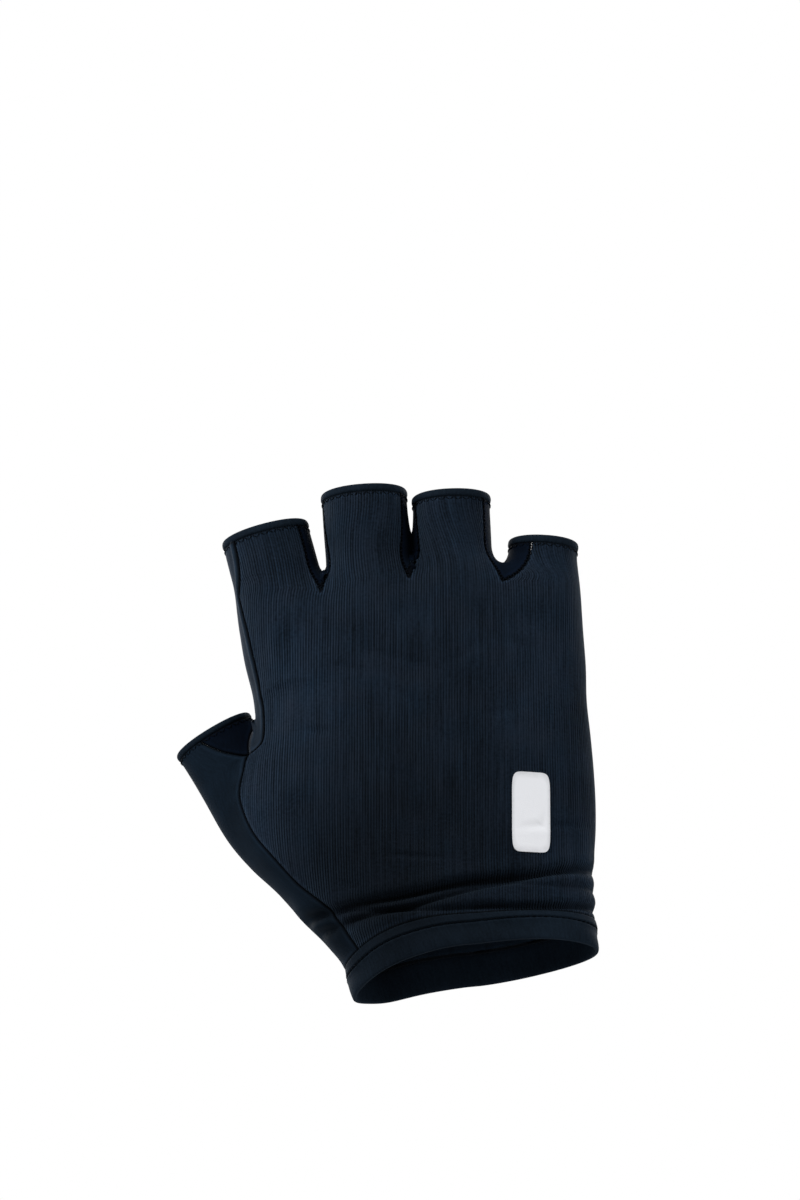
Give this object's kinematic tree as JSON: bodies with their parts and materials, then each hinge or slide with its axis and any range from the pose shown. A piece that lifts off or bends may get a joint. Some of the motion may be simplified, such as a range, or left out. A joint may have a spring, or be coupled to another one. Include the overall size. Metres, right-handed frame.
{
  "type": "short-finger cycling glove",
  "caption": "Right-hand glove with open short fingers: ribbed stretch back, smooth palm and thumb, finger gussets, bound openings, a wide wrist hem and a plain reflective patch.",
  "frame": {"origin": "middle of the wrist opening, where the wrist that holds the glove goes in", "axes": "+Z from the wrist to the fingers, -Y out of the back of the hand, +X to the little-finger side"},
  "size_m": [0.1126, 0.0399, 0.1391],
  "materials": {
    "ribbed_cloth": "fine vertical rib, matte",
    "palm_cloth": "smooth suede-like, matte",
    "smooth_cloth": "smooth stretch knit, slight sheen",
    "hem_cloth": "folded and stitched, matte",
    "reflective_film": "smooth pale film"
  },
  "bodies": {
    "root": {"back_panel": "ribbed_cloth", "palm_panel": "palm_cloth", "thumb_panel": "smooth_cloth", "thumb_web_panel": "smooth_cloth", "fourchette_index_middle": "smooth_cloth", "fourchette_middle_ring": "smooth_cloth", "fourchette_ring_little": "smooth_cloth", "index_hem": "hem_cloth", "middle_hem": "hem_cloth", "ring_hem": "hem_cloth", "little_hem": "hem_cloth", "thumb_hem": "hem_cloth", "wrist_hem": "hem_cloth", "reflective_patch": "reflective_film"}
  },
  "joints": []
}
